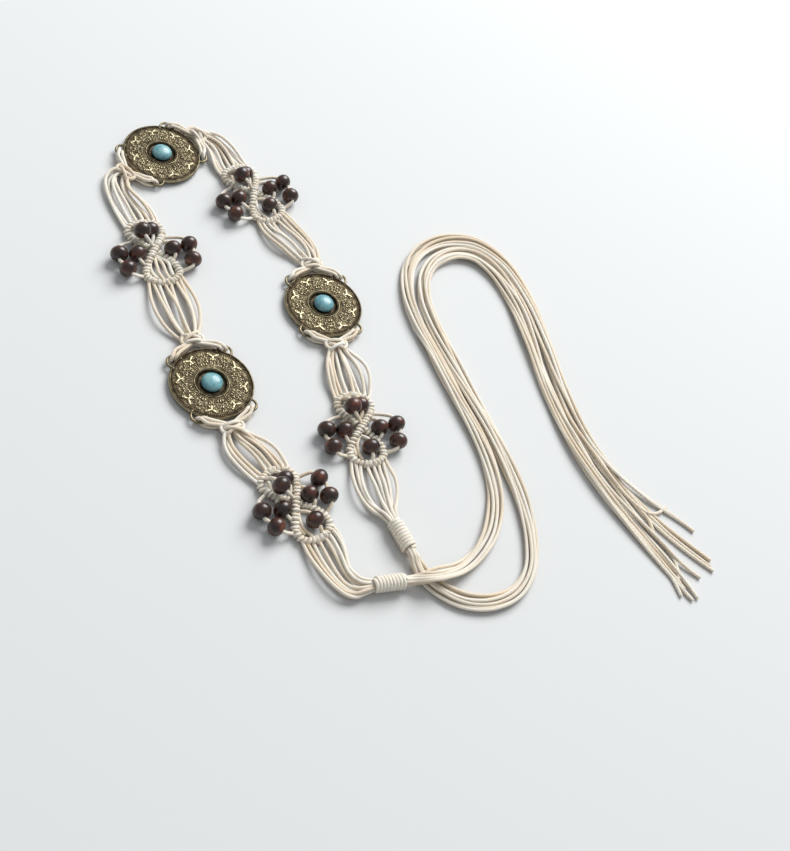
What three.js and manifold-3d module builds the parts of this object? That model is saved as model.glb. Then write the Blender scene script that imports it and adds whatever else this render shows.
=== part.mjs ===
// A tie belt in macrame. Three cast discs set with stones hang in cord yokes between four knotted
// rosettes with wooden beads, open fans of cords join them, and each end is whipped and goes on as a
// long bundle of free cords. The belt lies on a flat surface, with +Z up.
import * as THREE from "three";
import { mergeVertices } from "three/addons/utils/BufferGeometryUtils.js";
import Module from "manifold-3d";

const wasm = await Module();
wasm.setup();

// Driving dimensions in millimetres
const cordDiameter = 2;
const cordsInBelt = 8;
const gap = 0.3;
const beadDiameter = 10;
const beadLength = 8.2;
const holeClearance = 0.45;
const ridgeWidth = 4.2;
const discDiameter = 46;
const discEdge = 3;
const reliefHeight = 0.5;
const motifCount = 8;
const stoneDiameter = 12;
const stoneHeight = 4.2;
const wireDiameter = 1.4;
const earSink = 2.5;
const rimClearance = 0.5;
const coreDiameter = 5.4;
const wrapWall = 1.5;
const wrapLength = 19;
const fanWidth = 26;
const bundleWidth = 9;
const bundleHeight = 4.6;
const layLength = 302;
const layWidth = 86;

// Sizes that follow from them
const cordRadius = cordDiameter / 2;
const beadPitch = beadDiameter + gap;
const loopHalfWidth = ridgeWidth / 2 + 0.76 * beadDiameter;
const rosetteHalfLength = ridgeWidth / 2 + 2 * beadDiameter;
const wireRadius = wireDiameter / 2;
const earWireUp = cordDiameter + gap + wireRadius;
const earRadius = cordDiameter + 2 * gap + 2 * wireRadius;
const yokeRise = wireRadius + gap + cordRadius;
const discUp = earWireUp - 0.73 * discEdge;
const earAngle = 39;
const knotReach = discDiameter / 2 + 3 * cordDiameter;
const knotHalfWidth = 2.3 * cordDiameter;
const knotUp = 1.3 * cordDiameter + gap;
const wrapRadius = coreDiameter / 2 + gap + wrapWall;

// How the belt lies: the centre of each disc, rosette and wrap as shares of the laid belt's length from
// its wraps to its far disc and of the width between its near discs, and the way each faces in degrees
// from +X. A disc faces the next piece of the belt, a rosette its end with two beads, a wrap its tail.
// The beads at a rosette's left and right side have slipped along it and outwards, in bead pitches.
const laid = ({ x, y, ...rest }) => ({ x: x * layWidth, y: y * layLength, ...rest });
const discPlaces = [
  { x: -0.558, y: -0.068, facing: 86.5 },
  { x: -0.064, y: 0.47, facing: 20 },
  { x: 0.442, y: 0.035, facing: -103.5 },
].map(laid);
const rosettePlaces = [
  { x: -0.448, y: -0.338, facing: 99.5, lowerBead: true, leftSlip: [0, 0], rightSlip: [0.1, -0.02] },
  { x: -0.477, y: 0.238, facing: 86, lowerBead: false, leftSlip: [-0.41, 0.13], rightSlip: [-0.44, 0.13] },
  { x: 0.419, y: 0.329, facing: 98, lowerBead: true, leftSlip: [-0.46, 0.34], rightSlip: [-0.48, 0.13] },
  { x: 0.203, y: -0.24, facing: 74.5, lowerBead: true, leftSlip: [-0.52, 0.13], rightSlip: [-0.36, 0.12] },
].map(laid);
const wrapPlaces = [
  { x: -0.169, y: -0.53, facing: -14 },
  { x: 0.064, y: -0.46, facing: -90 },
].map(laid);

// The free bundles' routes over the surface: x, y and the height of the bundle's middle.
const low = bundleHeight / 2 + gap;
const tailRoutes = [
  [
    [5, -165.6, 7.9], [14, -167, 7.9], [24, -167, 5], [34, -165, low], [45, -160.6, low],
    [57, -152.6, low], [69, -138, low], [77.5, -118, low], [82, -98, low], [84, -74, low],
    [86, -45, low], [88.5, -16, low], [95, 6, low], [107, 23.5, low], [124, 33, low],
    [143, 34.5, low], [160, 27, low], [169.5, 8, low], [169, -22, low], [162, -52, low],
    [152, -87, low], [146.5, -121, low], [147.5, -150, low], [155, -177, low], [169, -206, low],
  ],
  [
    [5.6, -154, 3.6], [6.8, -162, low], [11, -172.5, low], [20, -183, low], [34, -189.5, low],
    [50, -189.5, low], [64, -181.5, low], [74.5, -167, low], [82.5, -147, low], [88, -122, low],
    [91.5, -98, low], [93.5, -74, low], [95.5, -46, low], [98, -19, low], [103, -1, low],
    [112, 13.5, low], [126, 22.5, low], [142, 24, low], [153.5, 18, low], [159.5, 4, low],
    [159, -22, low], [152.5, -50, low], [142.5, -85, low], [136.5, -121, low], [136.5, -151, low],
    [139.5, -181, low], [146, -226, low],
  ],
];

const cream = new THREE.MeshStandardMaterial({ color: 0xe9dfc9, roughness: 0.85 });
const wood = new THREE.MeshStandardMaterial({ color: 0x3c2018, roughness: 0.3 });
const bronze = new THREE.MeshStandardMaterial({ color: 0x6e5c3c, roughness: 0.45, metalness: 1 });
const turquoise = new THREE.MeshStandardMaterial({ color: 0x74bccf, roughness: 0.35 });

const radians = THREE.MathUtils.degToRad;

// A point given along a place's facing, across it to the left, and up.
function at(place, along, across, up) {
  const c = Math.cos(radians(place.facing));
  const s = Math.sin(radians(place.facing));
  return new THREE.Vector3(place.x + along * c - across * s, place.y + along * s + across * c, up);
}

// A path straight from station to station, with one step for each.
class StationPath extends THREE.Curve {
  constructor(stations) {
    super();
    this.stations = stations;
  }
  getPoint(t) {
    const last = this.stations.length - 1;
    const i = Math.min(Math.floor(t * last + 1e-6), last - 1);
    return this.stations[i].clone().lerp(this.stations[i + 1], t * last - i);
  }
  getPointAt(t) {
    return this.getPoint(t);
  }
  getTangentAt(t) {
    const last = this.stations.length - 1;
    const i = Math.round(t * last);
    const before = this.stations[i].clone().sub(this.stations[Math.max(i - 1, 0)]).normalize();
    const after = this.stations[Math.min(i + 1, last)].clone().sub(this.stations[i]).normalize();
    return before.add(after).normalize();
  }
  // Each section stands across the path and upright, and only follows on where the path is upright itself.
  computeFrenetFrames(steps) {
    const frames = { tangents: [], normals: [], binormals: [] };
    let across = null;
    for (let i = 0; i <= steps; i++) {
      const tangent = this.getTangentAt(i / steps);
      const level = new THREE.Vector3(0, 0, 1).cross(tangent);
      if (level.length() > 0.3 || across === null) {
        const turn = across !== null && across.dot(level) < 0 ? -1 : 1;
        across = level.normalize().multiplyScalar(turn);
      }
      const normal = new THREE.Vector3().crossVectors(tangent, across).normalize();
      frames.tangents.push(tangent);
      frames.normals.push(normal);
      frames.binormals.push(new THREE.Vector3().crossVectors(tangent, normal));
    }
    return frames;
  }
}

// A cord or rod through the stations, as wide across as high unless a half height is given.
function rod(stations, halfWidth, sides, halfHeight = halfWidth) {
  const section = new THREE.Shape();
  for (let i = 0; i < sides; i++) {
    const angle = (2 * Math.PI * (sides === 4 ? i : i + 0.5)) / sides;
    const point = [halfHeight * Math.cos(angle), halfWidth * Math.sin(angle)];
    if (i === 0) section.moveTo(...point);
    else section.lineTo(...point);
  }
  const path = new StationPath(stations);
  return new THREE.ExtrudeGeometry(section, { steps: stations.length - 1, extrudePath: path });
}

function solidOf(geometry) {
  const bare = geometry.clone();
  bare.deleteAttribute("normal");
  bare.deleteAttribute("uv");
  const merged = mergeVertices(bare, 1e-4);
  return new wasm.Manifold(
    new wasm.Mesh({
      numProp: 3,
      vertProperties: merged.attributes.position.array,
      triVerts: new Uint32Array(merged.index.array),
    }),
  );
}

function geometryOf(solid) {
  const mesh = solid.getMesh();
  const geometry = new THREE.BufferGeometry();
  geometry.setAttribute("position", new THREE.BufferAttribute(mesh.vertProperties, 3));
  geometry.setIndex(new THREE.BufferAttribute(mesh.triVerts, 1));
  return geometry.toNonIndexed();
}

// Pieces that are one solid on the real belt.
function joined(geometries) {
  return geometryOf(geometries.map(solidOf).reduce((all, one) => all.add(one)));
}

const belt = new THREE.Group();
const tails = new THREE.Group();

function addMesh(group, name, geometry, material) {
  const mesh = new THREE.Mesh(geometry, material);
  mesh.name = name;
  group.add(mesh);
  return mesh;
}

// The disc's section from the middle of its back round to the middle of its recess: the distance from
// the axis as a share of the disc's radius and the height as a share of its edge. The relief stands on
// two rings: buds on the inner one, and halfway between them leaves on the outer one. Each motif takes
// four steps round the disc, and the ring is raised at the step given.
const stepsPerMotif = 4;
const discProfile = [
  { out: 0, up: 0 },
  { out: 0.97, up: 0 },
  { out: 1, up: 0.8 },
  { out: 0.94, up: 1 },
  { out: 0.87, up: 0.85 },
  { out: 0.75, up: 0.88, raisedAt: 2 },
  { out: 0.57, up: 0.9, raisedAt: 0 },
  { out: 0.45, up: 0.9 },
  { out: 0.41, up: 1.2 },
  { out: 0.36, up: 1.2 },
  { out: 0.35, up: 0.7 },
  { out: 0, up: 0.7 },
];

// A soldered ear is half a ring of wire, set on the rim by its two feet.
function ear(degrees) {
  const rim = discDiameter / 2;
  const steps = 3;
  const stations = [];
  for (let i = 0; i <= steps; i++) {
    const turn = (Math.PI * i) / steps - Math.PI / 2;
    const out = rim + earRadius * Math.cos(turn);
    const along = earRadius * Math.sin(turn);
    stations.push(at({ x: 0, y: 0, facing: degrees }, out, along, earWireUp - discUp));
  }
  stations.unshift(at({ x: 0, y: 0, facing: degrees }, rim - earSink, -earRadius, earWireUp - discUp));
  stations.push(at({ x: 0, y: 0, facing: degrees }, rim - earSink, earRadius, earWireUp - discUp));
  return rod(stations, wireRadius, 5);
}

function disc() {
  const radius = discDiameter / 2;
  const profile = discProfile.map((p) => new THREE.Vector2(p.out * radius, p.up * discEdge));
  const body = new THREE.LatheGeometry(profile, stepsPerMotif * motifCount);
  body.rotateX(Math.PI / 2);
  const points = body.attributes.position;
  for (let i = 0; i < points.count; i++) {
    const ring = discProfile[i % discProfile.length];
    const step = Math.floor(i / discProfile.length) % stepsPerMotif;
    if (ring.raisedAt === step) points.setZ(i, points.getZ(i) + reliefHeight);
  }
  const parts = [body];
  for (const side of [0, 180]) for (const turn of [-earAngle, earAngle]) parts.push(ear(side + turn));
  return joined(parts);
}

function stone() {
  const radius = stoneDiameter / 2;
  const profile = [
    [0, 0], [radius, 0], [radius * 0.9, stoneHeight * 0.55], [radius * 0.52, stoneHeight * 0.9],
    [0, stoneHeight],
  ].map(([out, up]) => new THREE.Vector2(out, up));
  return new THREE.LatheGeometry(profile, 12).rotateX(Math.PI / 2);
}

const discShape = disc();
const stoneShape = stone();
discPlaces.forEach((place, i) => {
  const seat = 0.7 * discEdge + gap;
  const pieces = [
    addMesh(belt, `disc_${i + 1}`, discShape, bronze),
    addMesh(belt, `stone_${i + 1}`, stoneShape, turquoise),
  ];
  pieces.forEach((piece, j) => {
    piece.position.set(place.x, place.y, discUp + j * seat);
    piece.rotation.z = radians(place.facing);
  });
});

// A bead is a short barrel with a drilled hole.
const holeRadius = cordRadius + holeClearance;
const beadProfile = [
  { out: holeRadius, along: -beadLength / 2 },
  { out: beadDiameter / 2, along: -beadLength * 0.22 },
  { out: beadDiameter / 2, along: beadLength * 0.22 },
  { out: holeRadius, along: beadLength / 2 },
];
const beadOutline = [...beadProfile, beadProfile[0]].map((p) => new THREE.Vector2(p.out, p.along));
const beadShape = new THREE.LatheGeometry(beadOutline, 10);

// The two rows of hitches of a rosette cross in its middle. A point on them is given by the end and the
// side of the rosette and its share of the way from that end's tip to the crossing.
function ridgePoint(place, end, side, share, up) {
  const angle = (Math.PI * share) / 2;
  const along = end * rosetteHalfLength * Math.cos(angle);
  return at(place, along, side * loopHalfWidth * Math.sin(2 * angle), up);
}

const ridgeUp = ridgeWidth / 2 + gap;
const crossingRise = 0.45 * ridgeWidth;

function ridge(place, side) {
  const steps = 9;
  const stations = [];
  for (let i = 0; i <= steps; i++) {
    const share = (2 * i) / steps;
    const rise = side > 0 ? crossingRise * Math.max(0, 1 - 4 * Math.abs(share - 1)) : 0;
    const end = share <= 1 ? 1 : -1;
    const away = share <= 1 ? share : 2 - share;
    stations.push(ridgePoint(place, end, side * end, away, ridgeUp + rise));
  }
  return rod(stations, ridgeWidth / 2, 5);
}

// The strands that carry a rosette's beads. Each starts and stops in the ridges, at an end, a side and a
// share as ridgePoint has them. Its beads are given along and across the rosette and up, in bead
// pitches from the strand's own middle, and each is turned by some degrees in plan. A strand at a side
// follows that side's slip along the rosette: the inner bead by less, for the ridges hold it back.
const sideMiddle = ridgeWidth / 2 + beadDiameter / 2 + 0.2 * loopHalfWidth;
const lowBead = beadDiameter / 2 + gap;
const strands = [
  {
    from: [1, 1, 0.66], to: [-1, 1, 0.66], middle: [0, sideMiddle], side: 1, follow: 0.3,
    beads: [{ along: 0, across: 0, up: 0, turn: 0 }],
  },
  {
    from: [1, -1, 0.66], to: [-1, -1, 0.66], middle: [0, -sideMiddle], side: -1, follow: 0.3,
    beads: [{ along: 0, across: 0, up: 0, turn: 0 }],
  },
  {
    from: [1, 1, 0.42], to: [-1, 1, 0.42], middle: [0, sideMiddle], side: 1, follow: 1,
    beads: [
      { along: 0.42, across: 0.985, up: 0.03, turn: -15 },
      { along: -0.63, across: 0.84, up: 0, turn: 20 },
    ],
  },
  {
    from: [1, -1, 0.42], to: [-1, -1, 0.42], middle: [0, -sideMiddle], side: -1, follow: 1,
    beads: [
      { along: 0.42, across: -0.985, up: 0.03, turn: 15 },
      { along: -0.63, across: -0.84, up: 0, turn: -20 },
    ],
  },
  {
    from: [1, -1, 0.04], to: [1, 1, 0.93], middle: [rosetteHalfLength * 0.62, 0], side: 0, follow: 0,
    beads: [{ along: 0, across: -0.24, up: 0.02, turn: 0 }],
  },
  {
    from: [1, 1, 0.2], to: [1, -1, 0.93], middle: [rosetteHalfLength * 0.62, 0], side: 0, follow: 0,
    beads: [{ along: -0.42, across: 0.46, up: 0.62, turn: 8 }],
  },
  {
    from: [-1, -1, 0.06], to: [-1, 1, 0.93], middle: [-rosetteHalfLength * 0.6, 0], side: 0, follow: 0,
    lower: true,
    beads: [{ along: 0, across: -0.2, up: 0.02, turn: 180 }],
  },
];

function beadPlaces(place, strand) {
  const [slip, out] = strand.side > 0 ? place.leftSlip : place.rightSlip;
  return strand.beads.map((bead) => {
    const along = strand.middle[0] + (bead.along + slip * strand.follow) * beadPitch;
    const across = strand.middle[1] + (bead.across + out * strand.side) * beadPitch;
    const centre = at(place, along, across, lowBead + bead.up * beadPitch);
    const heading = radians(place.facing + 180 + bead.turn);
    return { centre, axis: new THREE.Vector3(Math.cos(heading), Math.sin(heading), 0) };
  });
}

function beadStrand(place, strand) {
  const stations = [ridgePoint(place, ...strand.from, ridgeUp)];
  for (const { centre, axis } of beadPlaces(place, strand)) {
    stations.push(centre.clone().addScaledVector(axis, -beadLength / 2 - gap));
    stations.push(centre.clone().addScaledVector(axis, beadLength / 2 + gap));
  }
  stations.push(ridgePoint(place, ...strand.to, ridgeUp));
  return rod(stations, cordRadius, 4);
}

// An open fan of cords, side by side, from one end of a rosette to a gathering point, which faces on
// along the belt. The rank tells the cords apart: -1 and 1 are the outermost. Each runs on a curve of
// its own, from the ridge by way of the fan's swell to its place in the gathering.
const rootShare = 0.41;
const cordRanks = Array.from({ length: cordsInBelt }, (_, i) => (2 * i) / (cordsInBelt - 1) - 1);

function fanCord(from, gather, spread, open, rank) {
  const handle = 0.38 * at(from, rosetteHalfLength, 0, 0).distanceTo(at(gather, 0, 0, 0));
  const halfWidth = open * (fanWidth / 2 - cordRadius);
  const root = ridgePoint(from, 1, Math.sign(rank), rootShare * Math.abs(rank), 0);
  const rootAcross = loopHalfWidth * Math.sin(Math.PI * rootShare * rank);
  const swell = (8 * halfWidth * rank - rootAcross - spread * rank) / 6;
  return new THREE.CubicBezierCurve3(
    root,
    at(from, rosetteHalfLength + handle, swell, 0),
    at(gather, -handle, swell, 0),
    at(gather, 0, spread * rank, 0),
  );
}

// The fan is one band as thick as a cord, with a slit between each two cords. A slit is as wide as the
// cords are apart at the stations, and closes at its two ends.
const fanStations = [0.32, 0.68];
const slitEnds = [0.12, 0.88];
const leastSlit = 0.15;

function fan(place, end, gather, spread, up, open = 1) {
  const from = { x: place.x, y: place.y, facing: place.facing + (end < 0 ? 180 : 0) };
  const cords = cordRanks.map((rank) => fanCord(from, gather, spread, open, rank));
  // The middle between two cords at a share of their length, and the way from the first to the second.
  const between = (one, other, share) => {
    const start = one.getPoint(share);
    const way = other.getPoint(share).sub(start);
    return { middle: start.addScaledVector(way, 0.5), half: way.length() / 2, way: way.normalize() };
  };
  const edge = (outer, inner) => (share) => {
    const { middle, half, way } = between(outer, inner, share);
    return middle.addScaledVector(way, -half - cordRadius);
  };
  const sides = [edge(cords[0], cords[1]), edge(cords.at(-1), cords.at(-2))];
  const shares = [0, ...fanStations, slitEnds[1], 1];
  const root = [-0.6, 0, 0.6].map((rank) =>
    ridgePoint(from, 1, Math.sign(rank), rootShare * Math.abs(rank), 0),
  );
  const outline = [...shares.map(sides[0]), ...shares.map(sides[1]).reverse(), ...root.reverse()];
  const shape = new THREE.Shape(outline.map((point) => new THREE.Vector2(point.x, point.y)));
  for (let i = 1; i < cords.length; i++) {
    const bank = (side) => (share) => {
      const { middle, half, way } = between(cords[i - 1], cords[i], share);
      return middle.addScaledVector(way, side * Math.max(leastSlit, half - cordRadius));
    };
    const slit = [
      between(cords[i - 1], cords[i], slitEnds[0]).middle,
      ...fanStations.map(bank(-1)),
      between(cords[i - 1], cords[i], slitEnds[1]).middle,
      ...fanStations.map(bank(1)).reverse(),
    ];
    shape.holes.push(new THREE.Path(slit.map((point) => new THREE.Vector2(point.x, point.y))));
  }
  // The band lies flat, and rises at its two ends to the ridge and to the gathering.
  const band = new THREE.ExtrudeGeometry(shape, { depth: cordDiameter, bevelEnabled: false });
  const points = band.attributes.position;
  const start = at(from, rosetteHalfLength, 0, 0);
  const stop = at(gather, 0, 0, 0);
  const reach = start.distanceTo(stop) / 2;
  const rise = (x, y, target, height) =>
    height * Math.max(0, 1 - Math.hypot(x - target.x, y - target.y) / reach) ** 2;
  for (let i = 0; i < points.count; i++) {
    const [x, y] = [points.getX(i), points.getY(i)];
    const lift = Math.max(rise(x, y, start, ridgeUp), rise(x, y, stop, up)) - cordRadius;
    points.setZ(i, gap + Math.max(0, lift) + points.getZ(i));
  }
  return band;
}

// A knot outside a disc's rim gathers the cords, and a yoke cord runs from it through each ear, over
// the ear's near leg and back under it.
function knotPlace(place, side) {
  const point = at(place, side * knotReach, 0, 0);
  return { x: point.x, y: point.y, facing: place.facing + (side > 0 ? 180 : 0) };
}

function yokes(place, side) {
  const knot = [-1, 1].map((end) => at(place, side * knotReach, end * knotHalfWidth, knotUp));
  const parts = [rod(knot, 0.62 * ridgeWidth, 5)];
  for (const turn of [-1, 1]) {
    const earPlace = { x: place.x, y: place.y, facing: place.facing + turn * earAngle };
    if (side < 0) earPlace.facing += 180;
    const out = discDiameter / 2 + rimClearance + cordRadius;
    const through = 0.35 * earRadius;
    const leg = earRadius + wireRadius + cordRadius;
    const stations = [
      at(place, side * knotReach, side * turn * 0.5 * knotHalfWidth, knotUp + cordRadius / 2),
      at(earPlace, out, -turn * leg, earWireUp + yokeRise),
      at(earPlace, out, -turn * through, earWireUp + yokeRise),
      at(earPlace, out, -turn * through, earWireUp - yokeRise),
      at(earPlace, out, -turn * leg, earWireUp - yokeRise),
      at(place, side * knotReach, side * turn * 0.5 * knotHalfWidth, knotUp - cordRadius / 2),
    ];
    parts.push(rod(stations, cordRadius, 4));
  }
  return parts;
}

// What holds each length of knotwork at its start and at its stop: a wrap, or one side of a disc. The
// belt turns back at the far disc, so the fan after it opens less, and its cords leave the knot turned.
const lengths = [
  { rosette: 0, startEnd: -1, start: { wrap: 0 }, stop: { disc: 0, side: -1 } },
  { rosette: 1, startEnd: -1, start: { disc: 0, side: 1 }, stop: { disc: 1, side: -1 } },
  {
    rosette: 2, startEnd: 1,
    start: { disc: 1, side: 1, open: 0.85, turn: -40 }, stop: { disc: 2, side: -1 },
  },
  { rosette: 3, startEnd: 1, start: { disc: 2, side: 1 }, stop: { wrap: 1 } },
];

const coreUp = wrapRadius + gap;

function endOfLength(rosettePlace, end, held) {
  if (held.wrap === undefined) {
    const place = discPlaces[held.disc];
    const knot = knotPlace(place, held.side);
    const gather = { ...knot, facing: knot.facing + (held.turn ?? 0) };
    return [
      fan(rosettePlace, end, gather, 0.78 * knotHalfWidth, knotUp, held.open),
      ...yokes(place, held.side),
    ];
  }
  const wrap = wrapPlaces[held.wrap];
  const mouth = wrapLength / 2 + cordDiameter;
  const point = at(wrap, -mouth, 0, 0);
  const core = rod([at(wrap, -mouth, 0, coreUp), at(wrap, wrapLength / 2, 0, coreUp)], coreDiameter / 2, 8);
  const gather = { x: point.x, y: point.y, facing: wrap.facing };
  return [fan(rosettePlace, end, gather, coreDiameter / 2 - cordRadius, coreUp), core];
}

lengths.forEach((length, i) => {
  const place = rosettePlaces[length.rosette];
  const carried = strands.filter((strand) => place.lowerBead || !strand.lower);
  const parts = [
    ridge(place, 1),
    ridge(place, -1),
    ...carried.map((strand) => beadStrand(place, strand)),
    ...endOfLength(place, length.startEnd, length.start),
    ...endOfLength(place, -length.startEnd, length.stop),
  ];
  addMesh(belt, `knotwork_${i + 1}`, joined(parts), cream);
  carried.flatMap((strand) => beadPlaces(place, strand)).forEach(({ centre, axis }, j) => {
    const bead = addMesh(belt, `bead_${i + 1}_${j + 1}`, beadShape, wood);
    bead.position.copy(centre);
    bead.quaternion.setFromUnitVectors(new THREE.Vector3(0, 1, 0), axis);
  });
});

// The wraps are whipped tight round the core, and each tail starts face to face with its wrap's end.
const wrapBore = coreDiameter / 2 + gap;
const wrapOutline = [
  [wrapBore, -0.5], [wrapRadius, -0.46], [wrapRadius, 0.46], [wrapBore, 0.5], [wrapBore, -0.5],
].map(([out, share]) => new THREE.Vector2(out, share * wrapLength));
const wrapShape = new THREE.LatheGeometry(wrapOutline, 10).rotateZ(-Math.PI / 2);
wrapPlaces.forEach((place, i) => {
  const letter = "ab"[i];
  const wrap = addMesh(belt, `wrap_${letter}`, wrapShape, cream);
  wrap.position.set(place.x, place.y, coreUp);
  wrap.rotation.z = radians(place.facing);
  const leaving = [gap, 2 * cordDiameter].map((on) => at(place, wrapLength / 2 + on, 0, coreUp));
  const route = tailRoutes[i].map((point) => new THREE.Vector3(...point));
  const tail = rod([...leaving, ...route], bundleWidth / 2, 8, bundleHeight / 2);
  addMesh(tails, `tail_${letter}`, tail, cream);
});

// The origin is under the middle of the belt without its tails, on the surface it lies on.
belt.updateMatrixWorld(true);
const box = new THREE.Box3().setFromObject(belt, true);
const centre = box.getCenter(new THREE.Vector3());
const group = new THREE.Group();
group.add(belt, tails);
group.position.set(-centre.x, -centre.y, -box.min.z);

export default group;
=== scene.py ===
# %% [markdown]
# A macrame tie belt lies on a pale table. Three cast discs with turquoise stones hang in cord
# yokes between four knotted rosettes with wooden beads, and both ends run out in free cords.
# The CAD model gives every place and size, and this script dresses it. It is measured in
# millimetres in the belt's own laying plan, and turned to metres where a mesh is made.

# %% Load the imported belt
import math

import bpy
import numpy as np
from mathutils import Matrix, Vector


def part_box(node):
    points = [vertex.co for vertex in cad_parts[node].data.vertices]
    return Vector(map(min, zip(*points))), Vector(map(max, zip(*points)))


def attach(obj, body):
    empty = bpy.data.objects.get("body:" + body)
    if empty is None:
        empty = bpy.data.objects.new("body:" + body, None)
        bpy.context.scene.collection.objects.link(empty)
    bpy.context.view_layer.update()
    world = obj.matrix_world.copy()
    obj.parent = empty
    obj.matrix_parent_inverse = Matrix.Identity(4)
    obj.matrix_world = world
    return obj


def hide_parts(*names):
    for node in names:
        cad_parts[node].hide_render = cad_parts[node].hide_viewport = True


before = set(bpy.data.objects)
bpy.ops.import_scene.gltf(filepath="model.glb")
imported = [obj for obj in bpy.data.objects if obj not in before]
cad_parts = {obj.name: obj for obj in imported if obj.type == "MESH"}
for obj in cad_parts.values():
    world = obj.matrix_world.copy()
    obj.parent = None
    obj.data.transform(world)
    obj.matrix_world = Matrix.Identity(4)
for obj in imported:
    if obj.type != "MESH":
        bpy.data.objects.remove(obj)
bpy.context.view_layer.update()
MM = 0.001
UP = np.array((0.0, 0.0, 1.0))


def new_object(name, data):
    made = bpy.data.objects.new(name, data)
    bpy.context.scene.collection.objects.link(made)
    return made


# %% [markdown]
# The camera stands where the photographer's did. A pinhole camera was fitted to the outlines of
# the three round discs, which lie flat and are all 46 mm wide: that gives its height, its slope,
# its roll and its focal length. The long side of the picture takes the sensor's 36 mm.

# %% Camera
image_size = (790, 851)
focal_pixels = 1200
sensor_mm = 36
camera_place = Vector((-286.96, -321.38, 520.88)) * MM
heading, elevation, roll = (math.radians(angle) for angle in (-53.4, 51.626, 28.881))

camera_data = bpy.data.cameras.new("table_camera")
camera_data.sensor_width = sensor_mm
camera_data.lens = sensor_mm * focal_pixels / max(image_size)
camera = new_object("table_camera", camera_data)
turn = Matrix.Rotation(heading, 4, "Z") @ Matrix.Rotation(math.pi / 2 - elevation, 4, "X")
camera.matrix_world = Matrix.Translation(camera_place) @ turn @ Matrix.Rotation(roll, 4, "Z")
bpy.context.scene.camera = camera
print("lens mm:", round(camera_data.lens, 2))

# %% [markdown]
# The belt is laid out in a plan of its own: each disc, rosette and wrap has a place and a way it
# faces, in degrees from +X. The same shares of the laid belt's width and length are in the CAD
# source, so the detail lands on the solids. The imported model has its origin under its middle,
# and the first disc's box tells how far the plan moves to get there.

# %% The laying plan
lay_width, lay_length = 86, 302


def laid(x, y, facing, **more):
    return {"x": x * lay_width, "y": y * lay_length, "facing": facing, **more}


def at(place, along, across, up):
    """A point, or a row of them, given along a place's facing, across it to the left, and up."""
    c, s = np.cos(np.radians(place["facing"])), np.sin(np.radians(place["facing"]))
    x, y = place["x"] + along * c - across * s, place["y"] + along * s + across * c
    return np.stack(np.broadcast_arrays(x, y, up), axis=-1)


def pointing(facing):
    return {"x": 0, "y": 0, "facing": facing}


disc_places = [laid(-0.558, -0.068, 86.5), laid(-0.064, 0.47, 20), laid(0.442, 0.035, -103.5)]
rosette_places = [
    laid(-0.448, -0.338, 99.5, lower_bead=True, slips={1: (0, 0), -1: (0.1, -0.02)}),
    laid(-0.477, 0.238, 86, lower_bead=False, slips={1: (-0.41, 0.13), -1: (-0.44, 0.13)}),
    laid(0.419, 0.329, 98, lower_bead=True, slips={1: (-0.46, 0.34), -1: (-0.48, 0.13)}),
    laid(0.203, -0.24, 74.5, lower_bead=True, slips={1: (-0.52, 0.13), -1: (-0.36, 0.12)}),
]
wrap_places = [laid(-0.169, -0.53, -14), laid(0.064, -0.46, -90)]
disc_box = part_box("disc_1")
shift = np.array(disc_box[0] + disc_box[1]) / 2 / MM - at(disc_places[0], 0, 0, 0)
shift[2] = 0
print("plan moves by mm:", shift.round(4))

# %% [markdown]
# The sizes are the ones that drive the CAD source. Ordinary macrame cord for belts is 2 mm
# thick, and eight of them run through the whole length.

# %% Sizes in millimetres
cord_radius = 1.0
cords_in_belt = 8
gap = 0.3
bead_radius, bead_length, bead_hole = 5.0, 8.2, 1.45
bead_pitch = 2 * bead_radius + gap
ridge_width = 4.2
disc_radius, disc_edge = 23.0, 3.0
wire_radius = 0.7
ear_radius = 4.0
ear_angle = 39
ear_up = 3.0
disc_up = ear_up - 0.73 * disc_edge
core_radius = 2.7
wrap_radius, wrap_length = 4.5, 19
fan_width = 26
low_bundle = 2.6

loop_half_width = ridge_width / 2 + 1.52 * bead_radius
rosette_half_length = ridge_width / 2 + 4 * bead_radius
knot_reach = disc_radius + 6 * cord_radius
knot_half_width = 4.6 * cord_radius
knot_up = 2.6 * cord_radius + gap
ridge_up = ridge_width / 2 + gap
crossing_rise = 0.45 * ridge_width
core_up = wrap_radius + gap
low_bead = bead_radius + gap

# %% [markdown]
# Every cord is a tube that follows a smooth line. The line is a Catmull-Rom curve through a few
# stations, cut to even steps so that the rings of the tube are evenly spaced. Mesh code is used
# here and not a curve object, because the braid follows a UV map that is made with the tube:
# U goes once round it, and V counts the millimetres along it.

# %% Paths
def run_along(points):
    """The length of a line from its start to each of its points."""
    return np.r_[0, np.cumsum(np.linalg.norm(np.diff(points, axis=0), axis=1))]


def evenly(points, step):
    run = run_along(points)
    marks = np.linspace(0, run[-1], max(3, round(run[-1] / step) + 1))
    return np.stack([np.interp(marks, run, column) for column in points.T], axis=1)


def between(t, first, last, start, stop):
    return ((last - t) * start + (t - first) * stop) / (last - first)


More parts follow.
